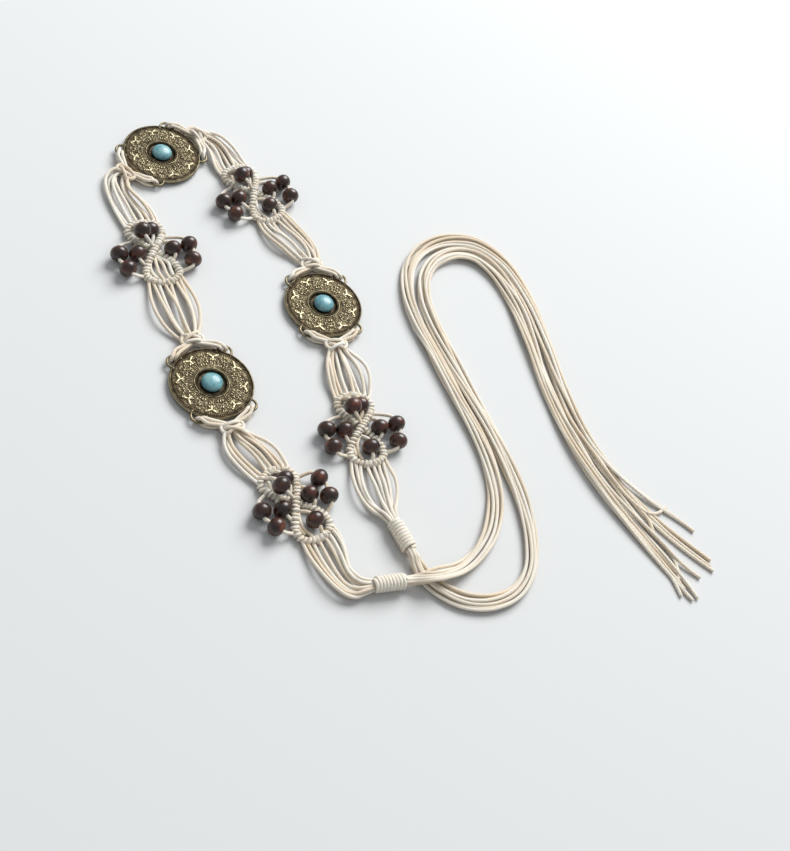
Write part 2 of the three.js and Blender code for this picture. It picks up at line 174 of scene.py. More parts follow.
def smooth_path(stations, step=1.0):
    """Points a step apart on a centripetal Catmull-Rom curve through the stations."""
    stations = np.asarray(stations, float)
    before, after = 2 * stations[0] - stations[1], 2 * stations[-1] - stations[-2]
    line = np.vstack([before, stations, after])
    share = np.linspace(0, 1, 12, endpoint=False)[:, None]
    arcs = []
    for p0, p1, p2, p3 in zip(line, line[1:], line[2:], line[3:]):
        t1, t2, t3 = np.cumsum([math.sqrt(np.linalg.norm(way)) for way in (p1 - p0, p2 - p1, p3 - p2)])
        t = t1 + (t2 - t1) * share
        a1, a2, a3 = between(t, 0, t1, p0, p1), between(t, t1, t2, p1, p2), between(t, t2, t3, p2, p3)
        b1, b2 = between(t, 0, t2, a1, a2), between(t, t1, t3, a2, a3)
        arcs.append(between(t, t1, t2, b1, b2))
    return evenly(np.vstack([*arcs, stations[-1:]]), step)


def bezier(points, count=40):
    t = np.linspace(0, 1, count)[:, None]
    weights = [(1 - t) ** 3, 3 * t * (1 - t) ** 2, 3 * t**2 * (1 - t), t**3]
    return sum(weight * point for weight, point in zip(weights, points))


def ease(t):
    """0 before 0, 1 after 1, and smooth between them."""
    t = np.clip(t, 0, 1)
    return t * t * (3 - 2 * t)


def directions(path):
    way = np.gradient(path, axis=0)
    return way / np.linalg.norm(way, axis=1)[:, None]


# %% [markdown]
# A shape is kept as plain arrays until its piece is whole: points in millimetres, the corners of
# all faces and how many each has, a UV pair for each corner, and values on the points. Many
# shapes are then joined to one piece. The rings of a tube are carried along the path with the
# least twist, and both cut ends are closed by a smaller ring and a point.

# %% Shapes
end_length, end_radius = 0.35, 0.68  # the rounded end of a tube, in shares of its radius


def skin(rings, run, ends=None, **values):
    """A shape from rings of points. It closes to a loop, or to a point at each of two ends."""
    rows, columns = rings.shape[:2]
    row, column = np.meshgrid(np.arange(rows - (ends is not None)), np.arange(columns), indexing="ij")
    r = np.stack([row, row, row + 1, row + 1], axis=-1).ravel()
    c = np.stack([column, column + 1, column + 1, column], axis=-1).ravel()
    points, corners, sizes = rings.reshape(-1, 3), r % rows * columns + c % columns, np.full(row.size, 4)
    uvs = np.stack([c / columns, run[r]], axis=1)
    if ends is not None:
        j, tips = np.arange(columns), np.repeat([[len(points)], [len(points) + 1]], columns, axis=1)
        last, after = len(points) - columns, (j + 1) % columns
        fans = np.stack([[tips[0], after, j], [tips[1], last + j, last + after]]).transpose(0, 2, 1)
        share = np.stack([j + 0.5, j, j + 1], axis=1).ravel() / columns
        points, corners = np.vstack([points, ends]), np.r_[corners, fans.ravel()]
        sizes = np.r_[sizes, np.full(2 * columns, 3)]
        uvs = np.vstack([uvs, *[np.stack([share, 0 * share + on], axis=1) for on in (run[0], run[-1])]])
    values = {name: np.zeros(len(points)) + value for name, value in values.items()}
    return {"points": points, "corners": corners, "sizes": sizes, "uvs": uvs, "values": values}


def tube(path, radius=cord_radius, sides=10, **values):
    way = directions(path)
    across = np.cross(way[0], UP if abs(way[0][2]) < 0.9 else (1.0, 0.0, 0.0))
    normals = []
    for direction in way:
        across = across - direction * np.dot(across, direction)
        across = across / np.linalg.norm(across)
        normals.append(across)
    others = np.cross(way, normals)
    lip = end_length * radius
    path = np.vstack([path[0] - way[0] * lip, path, path[-1] + way[-1] * lip])
    normals, others = (np.vstack([a[:1], a, a[-1:]])[:, None] for a in (normals, others))
    radii = np.r_[end_radius, np.ones(len(way)), end_radius] * radius
    angle = (np.arange(sides) * 2 * math.pi / sides)[None, :, None]
    rings = path[:, None] + (np.cos(angle) * normals + np.sin(angle) * others) * radii[:, None, None]
    return skin(rings, run_along(path), [path[0], path[-1]], **values)


def placed(part, place, up):
    """A copy of a shape, turned to a place's facing and moved to it."""
    x, y, z = part["points"].T
    return {**part, "points": at(place, x, y, z + up)}


def join_shapes(shapes):
    starts = np.cumsum([0] + [len(s["points"]) for s in shapes[:-1]])
    joined = {key: np.concatenate([s[key] for s in shapes]) for key in ("points", "sizes", "uvs")}
    joined["corners"] = np.concatenate([s["corners"] + start for s, start in zip(shapes, starts)])
    joined["values"] = {
        name: np.concatenate([s["values"].get(name, np.zeros(len(s["points"]))) for s in shapes])
        for name in sorted(set().union(*[s["values"] for s in shapes]))
    }
    return joined


# %% [markdown]
# A finished piece is one mesh in metres whose object stays at the origin. It rides on the
# belt's only body and takes its material, and the CAD nodes it stands for are hidden.

# %% Pieces
ATTRIBUTE_TYPES = {1: ("FLOAT", "value"), 2: ("FLOAT_VECTOR", "vector")}


def make_piece(name, shapes, material, slot, *nodes):
    whole = join_shapes(shapes)
    corners, sizes = whole["corners"], whole["sizes"]
    mesh = bpy.data.meshes.new(name)
    mesh.vertices.add(len(whole["points"]))
    mesh.vertices.foreach_set("co", ((whole["points"] + shift) * MM).astype(np.float32).ravel())
    mesh.loops.add(len(corners))
    mesh.loops.foreach_set("vertex_index", corners.astype(np.int32))
    mesh.polygons.add(len(sizes))
    mesh.polygons.foreach_set("loop_start", (np.cumsum(sizes) - sizes).astype(np.int32))
    mesh.polygons.foreach_set("use_smooth", np.ones(len(sizes), bool))
    uv_layer = mesh.uv_layers.new(name="UVMap")
    uv_layer.data.foreach_set("uv", whole["uvs"].astype(np.float32).ravel())
    for key, values in whole["values"].items():
        kind, field = ATTRIBUTE_TYPES[values.ndim]
        mesh.attributes.new(key, kind, "POINT").data.foreach_set(field, values.astype(np.float32).ravel())
    mesh.update(calc_edges=True)
    mesh.validate()
    mesh.materials.append(material)
    piece = new_object(name, mesh)
    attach(piece, "root")
    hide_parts(*nodes)
    return piece


# %% [markdown]
# Materials are node trees. One helper adds a node and another sets what feeds it, which may be a
# value, an output, or a node whose first output is meant. The colours are the usual sRGB hex
# codes, turned to the linear numbers that Blender's sockets take.

# %% Material helpers
MATH, RANGE, MIX = "ShaderNodeMath", "ShaderNodeMapRange", "ShaderNodeMix"
NOISE, ATTRIBUTE, BUMP = "ShaderNodeTexNoise", "ShaderNodeAttribute", "ShaderNodeBump"
RAMP, SPLINE, RANDOM = "ShaderNodeValToRGB", "GeometryNodeSplineParameter", "FunctionNodeRandomValue"
STORE, REPEAT = "GeometryNodeStoreNamedAttribute", "GeometryNodeInstanceOnPoints"
ALIGN, ROTATE = "FunctionNodeAlignRotationToVector", "FunctionNodeRotateRotation"


def feed(node, inputs):
    for key, value in inputs.items():
        if isinstance(value, bpy.types.Node):
            value = value.outputs[0]
        if isinstance(value, bpy.types.NodeSocket):
            node.id_data.links.new(value, node.inputs[key])
        else:
            node.inputs[key].default_value = value


def add(tree, kind, inputs=None, stops=(), **settings):
    """Adds a node. A colour ramp also takes its stops, each a position and a hex colour."""
    node = tree.nodes.new(kind)
    for name, value in settings.items():
        setattr(node, name, value)
    for number, (position, hex_code) in enumerate(stops):
        elements = node.color_ramp.elements
        element = elements[number] if number < 2 else elements.new(position)
        element.position, element.color = position, linear(hex_code)
    feed(node, inputs or {})
    return node


def linear(hex_code):
    channels = [int(hex_code[i : i + 2], 16) / 255 for i in (1, 3, 5)]
    return (*[c / 12.92 if c <= 0.04045 else ((c + 0.055) / 1.055) ** 2.4 for c in channels], 1.0)


def new_material(name):
    material = bpy.data.materials.new(name)
    material.use_nodes = True
    tree = material.node_tree
    return material, tree, tree.nodes["Principled BSDF"]


# %% [markdown]
# The cord is braided cotton, lightly waxed: small yarns cross on its surface and leave rows of
# slanted stitches about a millimetre long. Two families of slanted waves on the UV map,
# multiplied, give exactly that lattice of diamonds. The stitches are raised by a bump, and the
# crevices between them get a painted shade, a darker and warmer tan than the yarn. The sides that
# look down or sideways get a painted shade of brown as well. Cotton is matte, with an IOR of
# about 1.5, and a little light goes through its yarns.

# %% Braided cotton cord
stitch_length = 2.3  # mm along the cord for a yarn to come round to its place again
stitches_round = 4
stitch_depth, tone_length, fibre_width = 0.2, 30, 0.35

cotton, tree, surface = new_material("braided_waxed_cotton")
uv = add(tree, "ShaderNodeSeparateXYZ", {0: add(tree, "ShaderNodeUVMap", uv_map="UVMap")})
around = add(tree, MATH, {0: uv.outputs["X"], 1: 2 * math.pi * stitches_round}, operation="MULTIPLY")
waves = []
for way in (1, -1):
    slope = {0: uv.outputs["Y"], 1: way * 2 * math.pi / stitch_length, 2: around}
    slanted = add(tree, MATH, slope, operation="MULTIPLY_ADD")
    waves.append(add(tree, MATH, {0: slanted}, operation="SINE"))
lattice = add(tree, MATH, {0: waves[0], 1: waves[1]}, operation="MULTIPLY")
lattice = add(tree, MATH, {0: lattice}, operation="ABSOLUTE")
stitches = add(tree, MATH, {0: lattice, 1: 0.45}, operation="POWER")
spot = add(tree, "ShaderNodeTexCoord").outputs["Object"]
slow = add(tree, NOISE, {"Vector": spot, "Scale": 1 / (tone_length * MM)})
fibres = add(tree, NOISE, {"Vector": spot, "Scale": 1 / (fibre_width * MM), "Detail": 3.0})
tone = add(tree, ATTRIBUTE, attribute_name="tone").outputs["Fac"]
warmth = add(tree, MATH, {0: tone, 1: slow}, operation="ADD")
warmth = add(tree, MATH, {0: warmth, 1: 0.5}, operation="MULTIPLY")
yarn = add(tree, RAMP, {"Fac": warmth}, [(0.2, "#F4E3C8"), (0.5, "#FDF4E4"), (0.8, "#FFFCF3")])
# Painted shade: the hollows between the stitches are mixed towards a darker tan, as if shade fell in them.
crevice_painted_shade = add(tree, RAMP, {"Fac": warmth}, [(0.2, "#AA8657"), (0.8, "#E0CDA8")])
crevice_shade_share = add(tree, RANGE, {"Value": stitches, "From Min": 0.15, "From Max": 0.75, "To Min": 0.5})
colour = add(tree, MIX, {"Factor": crevice_shade_share, 6: crevice_painted_shade, 7: yarn}, data_type="RGBA").outputs[2]
# Painted shade: faces of the cord that look down or sideways are mixed towards brown, the more the less they
# face up.
upward = add(tree, "ShaderNodeSeparateXYZ", {0: add(tree, "ShaderNodeNewGeometry").outputs["Normal"]})
painted_side_shade = {"Value": upward.outputs["Z"], "From Min": -0.45, "From Max": 0.22, "To Min": 0.65, "To Max": 0.0}
painted_side_shade = add(tree, RANGE, painted_side_shade)
colour = add(tree, MIX, {"Factor": painted_side_shade, 6: colour, 7: linear("#977850")}, data_type="RGBA").outputs[2]
height = add(tree, MATH, {0: fibres, 1: 0.25, 2: stitches}, operation="MULTIPLY_ADD")
bump = add(tree, BUMP, {"Strength": 0.9, "Distance": stitch_depth * MM, "Height": height})
feed(surface, {
    "Base Color": colour, "Normal": bump, "Roughness": 0.62, "IOR": 1.5, "Sheen Weight": 0.3,
    "Subsurface Weight": 0.25, "Subsurface Radius": (1.0, 0.8, 0.55), "Subsurface Scale": 0.5 * MM,
})
print("cotton nodes:", len(tree.nodes))

# %% [markdown]
# The free cords come first. Each end of the belt goes on as eight separate cords in a loose
# bundle. A bundle follows the CAD route, and each cord keeps its place in the bundle's section,
# which starts as a ring inside the wrap and flattens to two rows on the table. The places move
# slowly round the section, as cords in a lightly twisted bundle do, and each drifts a little to
# and fro on its own. Over the last stretch each cord leaves the others for a tip of its own, and
# a few tips curl, as cord that came off a reel does.

# %% Routes of the bundles
tail_routes = [
    [
        (5, -165.6, 7.9), (14, -167, 7.9), (24, -167, 5), (34, -165), (45, -160.6), (57, -152.6),
        (69, -138), (77.5, -118), (82, -98), (84, -74), (86, -45), (88.5, -16), (95, 6), (107, 23.5),
        (124, 33), (143, 34.5), (160, 27), (169.5, 8), (169, -22), (162, -52), (152, -87),
        (146.5, -121), (147.5, -150), (155, -177), (169, -206),
    ],
    [
        (5.6, -154, 3.6), (6.8, -162), (11, -172.5), (20, -183), (34, -189.5), (50, -189.5),
        (64, -181.5), (74.5, -167), (82.5, -147), (88, -122), (91.5, -98), (93.5, -74), (95.5, -46),
        (98, -19), (103, -1), (112, 13.5), (126, 22.5), (142, 24), (153.5, 18), (159.5, 4),
        (159, -22), (152.5, -50), (142.5, -85), (136.5, -121), (136.5, -151), (139.5, -181), (146, -226),
    ],
]
cord_tips = [
    [(175.5, -197), (174.6, -194.7), (161.4, -189.5), (158, -190.3), (173.4, -216.1), (170.9, -219.2),
     (170.8, -222.2), (158.3, -218.3)],
    [(156, -223.8), (150.3, -232.2), (150.5, -229.4), (145.7, -227.1), (146, -224.4), (146.5, -231.9),
     (145.7, -229.5), (146, -220.5)],
]
tip_curls = {("a", 2): 75, ("a", 3): -50, ("a", 7): -55, ("b", 3): -20, ("b", 0): 20}
curl_steps = 16


def stadium(share, straight, radius):
    """Across and up, for a share of the way round a section with two straight sides."""
    bend = math.pi * radius
    run = (share % 1) * 2 * (straight + bend)
    right, left = (run - straight) / radius, (run - 2 * straight - bend) / radius
    zones = [run < straight, run < straight + bend, run < 2 * straight + bend]
    across = [run - straight / 2, straight / 2 + radius * np.sin(right), 1.5 * straight + bend - run]
    up = [radius + 0 * run, radius * np.cos(right), -radius + 0 * run]
    across = np.select(zones, across, -straight / 2 - radius * np.sin(left))
    return across, np.select(zones, up, -radius * np.cos(left))


def curled(line, turn):
    """The line with its last steps bent on the table, by these degrees in all."""
    bends = turn * ease(np.arange(curl_steps) / (curl_steps - 1))
    steps = at(pointing(bends), *np.diff(line[-curl_steps - 1 :], axis=0).T)
    return np.vstack([line[:-curl_steps], line[-curl_steps - 1] + np.cumsum(steps, axis=0)])


# %% Free cords
random = np.random.default_rng(11)
opening_length, loose_length, twist_length = 22, 85, 650
ring_radius, flat_radius, flat_width = 1.65, 1.05, 4.9
table_rest = cord_radius + 0.05
free_cord_lengths = {}


def wave(run, sizes, lengths):
    """A slow wave along a line, with a size, a length and a start of its own."""
    return random.uniform(*sizes) * np.sin(run / random.uniform(*lengths) + random.uniform(0, 6))


for letter, route, tips, place in zip("ab", tail_routes, cord_tips, wrap_places):
    leaving = [at(place, wrap_length / 2 + on, 0, core_up) for on in (-1.5, gap, 4 * cord_radius)]
    middle = smooth_path([*leaving, *[(*spot, low_bundle)[:3] for spot in route]], 1.5)
    run = run_along(middle)
    side = np.cross(UP, directions(middle))
    side = side / np.linalg.norm(side, axis=1)[:, None]
    opened = ease(run / opening_length)
    loose = ease((run - run[-1] + loose_length) / loose_length)
    order = np.argsort([np.dot(np.subtract(tip, middle[-1][:2]), side[-1][:2]) for tip in tips])
    starts = np.arange(cords_in_belt) / cords_in_belt
    arriving = stadium(starts + run[-1] / twist_length, flat_width, flat_radius)[0]
    tip_numbers = order[np.argsort(np.argsort(arriving))]
    spread = 1 + 0.14 * np.sin(run / 41 + (letter == "b")) * opened
    for number, (start, tip_number) in enumerate(zip(starts, tip_numbers), 1):
        share = start + run / twist_length + wave(run, (0.03, 0.075), (18, 34)) * opened
        radius = ring_radius + (flat_radius - ring_radius) * opened
        across, up = stadium(share, flat_width * opened * spread, radius)
        aside, lift = (wave(run, (0.25, 0.8), (13, 26)) * opened for _ in range(2))
        line = middle + side * (across + aside)[:, None] + UP * (up + lift)[:, None]
        line = line + loose[:, None] * ((*tips[tip_number], table_rest) - line[-1])
        line = curled(line, tip_curls.get((letter, tip_number), 0))
        line[:, 2] = np.maximum(line[:, 2], table_rest)
        name = f"free_cord_{letter}{number}"
        cord = make_piece(name, [tube(line, tone=random.uniform(0.0, 1.0))], cotton, "cord", f"tail_{letter}")
        rings = (line + shift) * MM
        length = float(run_along(rings)[-1])
        free_cord_lengths[name] = round(length, 3)
print("free cords, metres:", free_cord_lengths)

# %% [markdown]
# Discs, stones and beads are turned forms: a profile goes once round an axis. The profile runs
# from the lower side outwards and up, which makes the faces point outwards. A profile that
# ends on the axis closes there to a point, and a closed one makes a ring, such as a bead.

# %% Turned forms
def revolve(profile, columns, closed=False, lift=0.0, **values):
    out, up = np.asarray(profile, float).T
    angle = np.arange(columns) * 2 * math.pi / columns
    radius, height = (np.repeat(column[:, None], columns, axis=1) for column in (out, up))
    rings = np.stack([radius * np.cos(angle), radius * np.sin(angle), height + lift], axis=-1)
    run = run_along(np.stack([out, up], axis=1))
    if closed:
        return skin(rings, np.r_[run, run[-1] + 1], **values)
    return skin(rings, run, [(0, 0, up[0]), (0, 0, up[-1])], **values)


# %% [markdown]
# A Geometry Nodes tree repeats a small form along rails. The rails are an object of bare edges,
# the tree's named inputs are set on its modifier, and the evaluated result is read back as one
# plain shape, after which the helper object goes.

# %% Growing repeats on rails
def read_values(items, field, size=1, kind=float):
    """One field of a mesh's points, corners or faces, as an array."""
    values = np.empty(len(items) * size, kind)
    items.foreach_get(field, values)
    return values.reshape(-1, size) if size > 1 else values


def read_shape(mesh):
    corners = read_values(mesh.loops, "vertex_index", kind=int)
    uvs = np.zeros((len(corners), 2))
    if "UVMap" in mesh.uv_layers:
        uvs = read_values(mesh.uv_layers["UVMap"].data, "uv", 2)
    names = [name for name in ("tone", "wear") if name in mesh.attributes]
    return {
        "points": read_values(mesh.vertices, "co", 3) / MM,
        "corners": corners,
        "sizes": read_values(mesh.polygons, "loop_total", kind=int),
        "uvs": uvs,
        "values": {name: read_values(mesh.attributes[name].data, "value") for name in names},
    }


def grown(tree, rails, closed=False, **settings):
    points, edges = [], []
    for rail in rails:
        first = len(points)
        points += (np.asarray(rail) * MM).tolist()
        edges += [(k, k + 1) for k in range(first, len(points) - 1)]
        if closed:
            edges.append((len(points) - 1, first))
    mesh = bpy.data.meshes.new("rails")
    mesh.from_pydata(points, edges, [])
    holder = new_object("rails", mesh)
    modifier = holder.modifiers.new("grow", "NODES")
    modifier.node_group = tree
    for socket in tree.interface.items_tree:
        if socket.in_out == "INPUT" and socket.name in settings:
            modifier[socket.identifier] = settings[socket.name]
    bpy.context.view_layer.update()
    evaluated = holder.evaluated_get(bpy.context.evaluated_depsgraph_get())
    made = bpy.data.meshes.new_from_object(evaluated)
    result = read_shape(made)
    bpy.data.objects.remove(holder)
    bpy.data.meshes.remove(made)
    return result


def new_tree(name, material, **numbers):
    """A tree with a rail input, named number inputs and a material, and its group input."""
    tree = bpy.data.node_groups.new(name, "GeometryNodeTree")
    tree.interface.new_socket("Rail", in_out="INPUT", socket_type="NodeSocketGeometry")
    for label, value in numbers.items():
        kind = "NodeSocketInt" if isinstance(value, int) else "NodeSocketFloat"
        tree.interface.new_socket(label, in_out="INPUT", socket_type=kind).default_value = value
    socket = tree.interface.new_socket("Material", in_out="INPUT", socket_type="NodeSocketMaterial")
    socket.default_value = material
    tree.interface.new_socket("Result", in_out="OUTPUT", socket_type="NodeSocketGeometry")
    return tree, tree.nodes.new("NodeGroupInput").outputs


def end_tree(tree, group, repeats):
    """Makes the repeats real, gives them the tree's material and hands them out."""
    made = add(tree, "GeometryNodeRealizeInstances", {"Geometry": repeats})
    made = add(tree, "GeometryNodeSetMaterial", {"Geometry": made, "Material": group["Material"]})
    add(tree, "NodeGroupOutput", {0: made})


# %% [markdown]
# The discs are cast bronze with an antique finish: the whole casting is darkened, and the high
# places are then rubbed bright again. So the colour follows a value on the mesh called wear,
# which is 0 in the hollows and 1 on the crests. Bronze is a metal, with the default IOR, and
# the rubbed places are smoother than the patina.

# %% Antique bronze
stain_width, grit_width, grit_depth = 2.5, 0.3, 0.05

bronze, tree, surface = new_material("antique_cast_bronze")
wear = add(tree, ATTRIBUTE, attribute_name="wear").outputs["Fac"]
spot = add(tree, "ShaderNodeTexCoord").outputs["Object"]
stains = add(tree, NOISE, {"Vector": spot, "Scale": 1 / (stain_width * MM), "Detail": 4.0})
grit = add(tree, NOISE, {"Vector": spot, "Scale": 1 / (grit_width * MM)})
rubbed = add(tree, MATH, {0: stains, 1: 0.5}, operation="SUBTRACT")
rubbed = add(tree, MATH, {0: rubbed, 1: 0.7, 2: wear}, operation="MULTIPLY_ADD", use_clamp=True)
patina = [(0.0, "#211A14"), (0.3, "#514837"), (0.6, "#8F856A"), (1.0, "#A8A085")]
feed(surface, {
    "Base Color": add(tree, RAMP, {"Fac": rubbed}, patina),
    "Roughness": add(tree, RANGE, {"Value": rubbed, "To Min": 0.62, "To Max": 0.32}),
    "Normal": add(tree, BUMP, {"Strength": 0.5, "Distance": grit_depth * MM, "Height": grit}),
    "Metallic": 1.0,
})

# %% [markdown]
# The ornament is an eight-fold ring of winged leaves with a trio of drops between each two. It
# is a height over the casting's front: every petal is an ellipse in millimetres, given once for
# half a sector and mirrored by using distances from the sector's middle. The ring is drawn
# narrower than it is and stretched outwards. The border is milled with fine radial ridges, and
# two thin rings stand round the recess for the stone.

# %% Disc relief
disc_steps = 480
relief_height, ridge_depth = 0.65, 0.2
ornament_middle, ornament_stretch = 15.0, 1.22
front_knots = [
    (0.6, 2.1), (7.6, 2.1), (7.85, 2.9), (8.15, 3.45), (8.45, 3.45), (8.75, 2.9), (9.0, 2.9),
    (9.3, 3.2), (9.5, 3.2), (9.75, 2.7), (10.2, 2.62), (20.35, 2.62), (20.55, 2.88), (20.75, 2.6),
    (21.6, 2.5), (21.85, 2.95), (22.25, 3.1), (22.65, 3.0), (22.9, 2.7),
]
side_and_back = [(0.6, 0), (12, 0), (21.8, 0), (22.25, 0.15), (22.5, 0.7), (22.75, 1.5), (22.95, 2.2)]
# centre out, centre across, half length, half width, turn in degrees, share of the height
leaf_petals = [
    (16.4, 0, 1.6, 0.85, 0, 1.0), (17.6, 1.5, 1.8, 0.78, 62, 1.0), (18.3, 2.95, 0.95, 0.6, 110, 0.9),
    (15.1, 0, 0.5, 1.1, 0, 0.8), (15.4, 1.3, 1.1, 0.5, -38, 0.8), (13.3, 0, 1.3, 0.36, 0, 0.6),
    (12.4, 0.9, 1.3, 0.3, 4, 0.6), (14.0, 1.05, 0.75, 0.42, -20, 0.7), (17.3, 3.0, 0.9, 0.34, 80, 0.6),
    (11.2, 0.45, 0.5, 0.3, 0, 0.6),
]
drop_petals = [
    (12.7, 0, 1.0, 0.5, 0, 1.0), (12.7, 1.44, 1.0, 0.48, 6.5, 1.0), (16.0, 0, 0.8, 0.66, 0, 1.0),
    (14.5, 0, 0.42, 0.42, 0, 0.8), (17.9, 0.85, 1.0, 0.4, 32, 0.7), (15.0, 1.75, 0.4, 0.4, 0, 0.7),
    (18.2, 0, 0.8, 0.3, 0, 0.8), (14.0, 2.7, 0.9, 0.35, 12, 0.7), (16.9, 2.3, 0.8, 0.42, 48, 0.8),
    (11.1, 0.6, 0.45, 0.28, 0, 0.6),
]
scroll = {"out": 15.0, "across": 1.75, "radius": 1.05, "half_width": 0.3}
# distance from the axis, and wear there
worn_knots = [
    (7.7, 0.15), (8.1, 0.4), (8.6, 0.4), (8.9, 0.15), (9.2, 0.3), (9.4, 0.75), (9.6, 0.2), (9.95, 0.23),
    (20.3, 0.2), (20.5, 0.2), (20.8, 0.05), (21.6, 0.05), (21.9, 0.3), (22.4, 0.25), (22.9, 0.9),
]
side_and_back_wear = [0.05, 0.05, 0.05, 0.15, 0.3, 0.6, 0.95]


def petals(out, across, table):
    high = np.zeros_like(out)
    for middle, side, long, wide, angle, share in table:
        c, s = math.cos(math.radians(angle)), math.sin(math.radians(angle))
        x, y = out - middle, across - side
        far = ((x * c + y * s) / long) ** 2 + ((y * c - x * s) / wide) ** 2
        high = np.maximum(high, share * np.clip(1.25 * (1 - far), 0, 1) ** 0.6)
    return high


def disc_relief(out):
    """Height over the front and wear, for rings at these distances from the axis."""
    steps = np.arange(disc_steps)
    sector = disc_steps // 8
    from_drops = np.abs((steps + sector // 2) % sector - sector // 2) * 2 * math.pi / disc_steps
    r = np.repeat(out[:, None], disc_steps, axis=1)
    field, border = (r > 10) & (r < 20.3), (r > 20.8) & (r < 21.5)
    drawn = ornament_middle + (r - ornament_middle) / ornament_stretch
    drops = petals(drawn, r * from_drops, drop_petals)
    leaves = petals(drawn, r * (math.pi / 8 - from_drops), leaf_petals)
    far = np.hypot(drawn - scroll["out"], r * from_drops - scroll["across"])
    curl = 0.8 * np.clip(1 - ((far - scroll["radius"]) / scroll["half_width"]) ** 2, 0, 1) ** 0.5
    raised = np.maximum(np.maximum(drops, leaves), curl) * field
    ridges = np.isin(steps % 4, (1, 2))[None, :] * np.ones_like(r)
    height = relief_height * raised + ridge_depth * ridges * (border + 0.45 * field * (raised < 0.1))
    worn = np.interp(out, *np.array(worn_knots).T)[:, None]
    worn = worn + 0.55 * raised + ridges * (0.26 * border + 0.14 * field)
    return height, np.clip(worn, 0, 1)


# %% Cast disc
fine_out = np.r_[
    np.arange(0.6, 7.5, 1.2), np.arange(7.6, 10.1, 0.15), np.arange(10.1, 20.3, 0.17),
    np.arange(20.3, 21.6, 0.16), np.arange(21.6, 22.91, 0.13),
][::-1]
front = np.stack([fine_out, np.interp(fine_out, *np.array(front_knots).T)], axis=1)
lift, worn = disc_relief(fine_out)
lift = np.vstack([np.zeros((len(side_and_back), disc_steps)), lift])
worn = np.r_[np.repeat(side_and_back_wear, disc_steps), worn.ravel(), 0.1, 0.0]
cast = revolve([*side_and_back, *front], disc_steps, lift=lift, wear=worn)
print("cast disc faces:", len(cast["sizes"]))

# %% [markdown]
# The rim and the inner ring look like twisted rope. On the real casting that is a row of small
# slanted lumps, so a Geometry Nodes tree sets one flattened ball after another on a circle and
# turns each a little about the outward line.

# %% Rope rings
tree, group = new_tree("lumps_on_a_ring", bronze, Count=150, Long=1.0, Wide=0.4, Thick=0.4, Slant=30.0)
curve = add(tree, "GeometryNodeMeshToCurve", {"Mesh": group["Rail"]})
marks = add(tree, "GeometryNodeResampleCurve", {"Curve": curve, "Count": group["Count"]})
ball = add(tree, "GeometryNodeMeshUVSphere", {"Segments": 8, "Rings": 6, "Radius": 1.0})
position = add(tree, "GeometryNodeInputPosition")
facing_out = add(tree, "ShaderNodeSeparateXYZ", {0: position}).outputs["X"]
shine = add(tree, RANGE, {"Value": facing_out, "From Min": 0.35, "From Max": 0.95, "To Min": 0.1})
ball = add(tree, STORE, {"Geometry": ball, "Name": "wear", "Value": shine})
size = add(tree, "ShaderNodeCombineXYZ", {"X": group["Thick"], "Y": group["Wide"], "Z": group["Long"]})
size = add(tree, "ShaderNodeVectorMath", {0: size, "Scale": MM}, operation="SCALE")
outward = add(tree, "ShaderNodeVectorMath", {0: position, 1: (1, 1, 0)}, operation="MULTIPLY")
turned = add(tree, ALIGN, {"Vector": outward}, axis="X", pivot_axis="Z")
slant = add(tree, MATH, {0: group["Slant"]}, operation="RADIANS")
slant = add(tree, "FunctionNodeAxisAngleToRotation", {"Axis": (1, 0, 0), "Angle": slant})
turned = add(tree, ROTATE, {"Rotation": turned, "Rotate By": slant}, rotation_space="LOCAL")
lumps = add(tree, REPEAT, {"Points": marks, "Instance": ball, "Rotation": turned, "Scale": size})
end_tree(tree, group, lumps)


def circle(radius, up, count=96):
    angle = np.arange(count) * 2 * math.pi / count
    return np.stack([radius * np.cos(angle), radius * np.sin(angle), np.full(count, up)], axis=1)


rim, recess = [circle(22.6, 1.5)], [circle(8.3, 3.3)]
rim_rope = grown(tree, rim, closed=True, Count=150, Long=1.25, Wide=0.36, Thick=0.45, Slant=28.0)
recess_rope = grown(tree, recess, closed=True, Count=64, Long=0.42, Wide=0.3, Thick=0.42, Slant=30.0)
print("rope lumps' faces:", len(rim_rope["sizes"]) + len(recess_rope["sizes"]))

# %% [markdown]
# Each disc has four ears, half rings of round wire soldered to the rim, two towards each
# neighbour. They are tubes of their own, with a drop of solder at each foot.

# %% Ears and whole discs
solder = revolve([(0.5, -0.55), (0.85, -0.3), (1.0, 0), (0.85, 0.3), (0.5, 0.55)], 12, wear=0.3)
bow = np.linspace(-math.pi / 2, math.pi / 2, 9)
wire_out = np.r_[disc_radius - 2, disc_radius + ear_radius * np.cos(bow), disc_radius - 2]
wire_across = ear_radius * np.r_[-1, np.sin(bow), 1]
ear_parts = []
for facing in (-ear_angle, ear_angle, 180 - ear_angle, 180 + ear_angle):
    line = at(pointing(facing), wire_out, wire_across, ear_up - disc_up)
    ear_parts.append(tube(smooth_path(line, 0.5), wire_radius, wear=0.5))
    for end in (-1, 1):
        spot = at(pointing(facing), disc_radius - 0.6, end * ear_radius, ear_up - disc_up)
        ear_parts.append({**solder, "points": solder["points"] + spot})

for number, place in enumerate(disc_places, 1):
    parts = [placed(part, place, disc_up) for part in (cast, rim_rope, recess_rope, *ear_parts)]
    make_piece(f"cast_disc_{number}", parts, bronze, "bronze", f"disc_{number}")

# %% [markdown]
# The stones are domed turquoise, ground and polished. The mineral is sky blue with paler clouds,
# greener spots and a few thin darker veins, and with its wax polish it shines softly. Its IOR is
# about 1.61.

# %% Turquoise
cloud_width, vein_spacing = 5, 6

